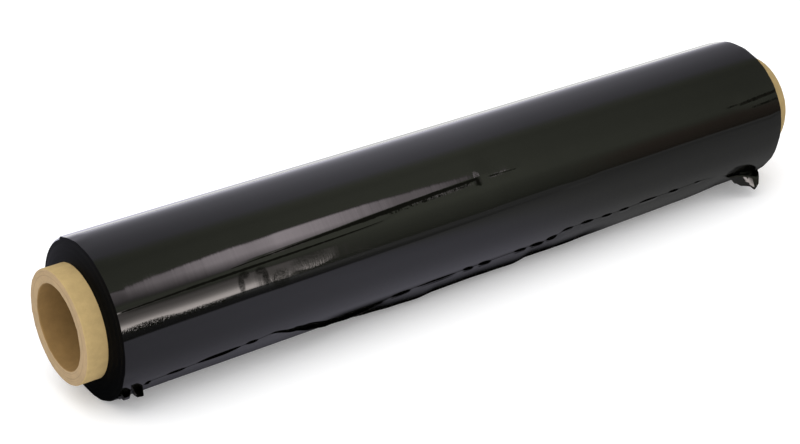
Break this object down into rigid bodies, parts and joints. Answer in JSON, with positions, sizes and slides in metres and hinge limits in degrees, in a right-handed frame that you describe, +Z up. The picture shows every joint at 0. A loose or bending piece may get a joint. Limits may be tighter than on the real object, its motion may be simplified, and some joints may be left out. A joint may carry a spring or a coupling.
{
  "type": "stretch wrap roll",
  "caption": "Hand roll of glossy black stretch wrap film wound on a cardboard core that sticks out at both ends, lying on its side with its free end loose at the front.",
  "frame": {"origin": "on the ground below the roll's axis, halfway along the film's width, in the middle of the flat spot", "axes": "+X along the roll's axis towards the end where the core sticks out further, +Z up, -Y the side where the film's free end lies"},
  "size_m": [0.5352, 0.0944, 0.0941],
  "materials": {
    "kraft_cardboard": "matt brown kraft paper, spirally wound in plies, slightly fuzzy at the cut rims",
    "black_film": "very glossy black polyethylene film with fine winding streaks and creases"
  },
  "bodies": {
    "root": {"cardboard_core": "kraft_cardboard", "film_roll": "black_film"}
  },
  "joints": []
}
